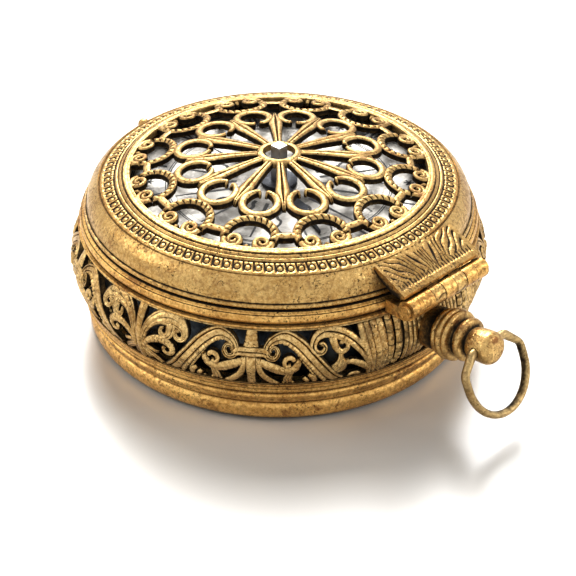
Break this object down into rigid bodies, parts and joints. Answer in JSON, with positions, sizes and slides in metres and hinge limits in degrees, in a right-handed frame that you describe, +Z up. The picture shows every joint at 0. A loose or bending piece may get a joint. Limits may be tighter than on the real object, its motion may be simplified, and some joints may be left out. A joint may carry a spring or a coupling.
{
  "type": "striking watch",
  "caption": "Drum-shaped striking watch with a pierced gilt case and cover, a bell in the back and a movement that swings out on the hinge.",
  "frame": {"origin": "middle of the flat back that the watch stands on", "axes": "+Z up out of the dial, +Y towards the pendant and hinge at 12 o'clock"},
  "size_m": [0.06, 0.0733, 0.0273],
  "materials": {
    "gilt_cover": "old gilding, worn",
    "gilt_openwork": "bright old gilding",
    "gilt_case": "old gilding, dark recesses",
    "gilt_moulding": "old gilding, reddish wear",
    "gilt_pendant": "old gilding, dark grooves",
    "bronze_bow": "dull bronze",
    "bell_metal": "dark tarnished bell metal",
    "silver_dial": "engraved silver",
    "movement_brass": "gilt, matt",
    "wheel_brass": "brushed",
    "steel": "dull grey",
    "blued_steel": "blackened",
    "gut": "waxed"
  },
  "bodies": {
    "case": {"case_band": "gilt_case", "rim_moulding": "gilt_moulding", "base_moulding": "gilt_moulding", "case_back": "gilt_case", "case_knuckles": "gilt_moulding", "hinge_pin": "gilt_moulding", "pendant": "gilt_pendant", "catch_keeper": "gilt_moulding", "bell": "bell_metal", "bell_stud": "steel", "bell_nut": "steel"},
    "bow": {"bow": "bronze_bow"},
    "cover": {"cover_bezel": "gilt_cover", "cover_grille": "gilt_openwork", "cover_leaf": "gilt_cover", "cover_lug": "gilt_cover"},
    "movement": {"front_plate": "movement_brass", "rear_plate": "movement_brass", "pillars": "movement_brass", "pillar_pins": "steel", "movement_leaf": "gilt_moulding", "bolt_housing": "movement_brass", "dial_ring": "movement_brass", "dial_plate": "movement_brass", "chapter_ring": "silver_dial", "dial_centre": "silver_dial", "centre_stud": "steel", "gut_line": "gut", "setup_arbor": "steel", "crown_potence": "movement_brass", "counter_potence": "movement_brass", "balance_cock": "movement_brass", "hammer_spring": "blued_steel"},
    "bolt": {"movement_bolt": "steel"},
    "hand": {"hour_wheel": "steel", "hand": "blued_steel"},
    "fusee": {"fusee": "wheel_brass", "great_wheel": "wheel_brass"},
    "going_barrel": {"going_barrel": "wheel_brass", "going_spring": "blued_steel"},
    "second_wheel": {"second_wheel": "wheel_brass"},
    "contrate_wheel": {"contrate_wheel": "wheel_brass"},
    "crown_wheel": {"crown_wheel": "wheel_brass"},
    "balance": {"verge": "steel", "balance_wheel": "movement_brass"},
    "strike_wheel": {"strike_barrel": "wheel_brass", "strike_spring": "blued_steel", "strike_great_wheel": "wheel_brass", "count_wheel": "wheel_brass"},
    "pin_wheel": {"pin_wheel": "wheel_brass"},
    "hoop_wheel": {"hoop_wheel": "wheel_brass"},
    "fly": {"fly": "steel"},
    "hammer": {"hammer": "steel"},
    "count_detent": {"count_detent": "steel"},
    "setup_click": {"setup_click": "steel"}
  },
  "joints": [
    {"name": "movement_swing", "type": "hinge", "parent": "case", "child": "movement", "pos_m": [0, 0.031, 0.018], "axis": [-1, 0, 0], "range_deg": [0, 70]},
    {"name": "cover_open", "type": "hinge", "parent": "movement", "child": "cover", "pos_m": [0, 0.031, 0.018], "axis": [-1, 0, 0], "range_deg": [0, 95]},
    {"name": "bow_swing", "type": "hinge", "parent": "case", "child": "bow", "pos_m": [0, 0.03842, 0.01248], "axis": [1, 0, 0], "range_deg": [-72, 72]},
    {"name": "bolt_slide", "type": "slide", "parent": "movement", "child": "bolt", "axis": [0, -1, 0], "range_m": [0, 0.0008]},
    {"name": "fusee_spin", "type": "hinge", "parent": "movement", "child": "fusee", "pos_m": [0.0072, -0.00383, 0.012], "axis": [0, 0, 1], "continuous": true},
    {"name": "hand_spin", "type": "hinge", "parent": "movement", "child": "hand", "pos_m": [0, 0, 0.02], "axis": [0, 0, 1], "continuous": true},
    {"name": "going_barrel_spin", "type": "hinge", "parent": "movement", "child": "going_barrel", "pos_m": [0.01, 0.0105, 0.012], "axis": [0, 0, 1], "continuous": true},
    {"name": "second_spin", "type": "hinge", "parent": "movement", "child": "second_wheel", "pos_m": [0.00354, -0.01389, 0.012], "axis": [0, 0, 1], "continuous": true},
    {"name": "contrate_spin", "type": "hinge", "parent": "movement", "child": "contrate_wheel", "pos_m": [-0.00204, -0.01186, 0.012], "axis": [0, 0, 1], "continuous": true},
    {"name": "crown_spin", "type": "hinge", "parent": "movement", "child": "crown_wheel", "pos_m": [-0.00505, -0.00787, 0.0126], "axis": [-0.6018, 0.7986, 0], "continuous": true},
    {"name": "balance_swing", "type": "hinge", "parent": "movement", "child": "balance", "pos_m": [-0.00758, -0.00452, 0.008], "axis": [0, 0, 1], "range_deg": [-30, 30]},
    {"name": "strike_spin", "type": "hinge", "parent": "movement", "child": "strike_wheel", "pos_m": [-0.009, 0.01, 0.012], "axis": [0, 0, 1], "continuous": true},
    {"name": "pin_wheel_spin", "type": "hinge", "parent": "movement", "child": "pin_wheel", "pos_m": [-0.01246, 0.00258, 0.012], "axis": [0, 0, 1], "continuous": true},
    {"name": "hoop_wheel_spin", "type": "hinge", "parent": "movement", "child": "hoop_wheel", "pos_m": [-0.01614, -0.00051, 0.012], "axis": [0, 0, 1], "continuous": true},
    {"name": "fly_spin", "type": "hinge", "parent": "movement", "child": "fly", "pos_m": [-0.01482, -0.00412, 0.012], "axis": [0, 0, 1], "continuous": true},
    {"name": "hammer_swing", "type": "hinge", "parent": "movement", "child": "hammer", "pos_m": [-0.0174, 0.0086, 0.012], "axis": [0, 0, 1], "range_deg": [-4, 12], "stiffness_Nm_per_rad": 0.0002},
    {"name": "detent_lift", "type": "hinge", "parent": "movement", "child": "count_detent", "pos_m": [-0.0183, 0.002, 0.006], "axis": [0, 0, 1], "range_deg": [0, 10], "stiffness_Nm_per_rad": 0.0001},
    {"name": "click_lift", "type": "hinge", "parent": "movement", "child": "setup_click", "pos_m": [0.0146, 0.01, 0.0063], "axis": [0, 0, 1], "range_deg": [-14, 0], "stiffness_Nm_per_rad": 0.0001}
  ],
  "couplings": [
    {"joint": "hand_spin", "follows": "fusee_spin", "ratio": -0.33333},
    {"joint": "going_barrel_spin", "follows": "fusee_spin", "ratio": 0.6},
    {"joint": "second_spin", "follows": "fusee_spin", "ratio": -6},
    {"joint": "contrate_spin", "follows": "fusee_spin", "ratio": 30},
    {"joint": "crown_spin", "follows": "fusee_spin", "ratio": 150},
    {"joint": "pin_wheel_spin", "follows": "strike_spin", "ratio": -6},
    {"joint": "hoop_wheel_spin", "follows": "strike_spin", "ratio": 39},
    {"joint": "fly_spin", "follows": "strike_spin", "ratio": -195}
  ]
}
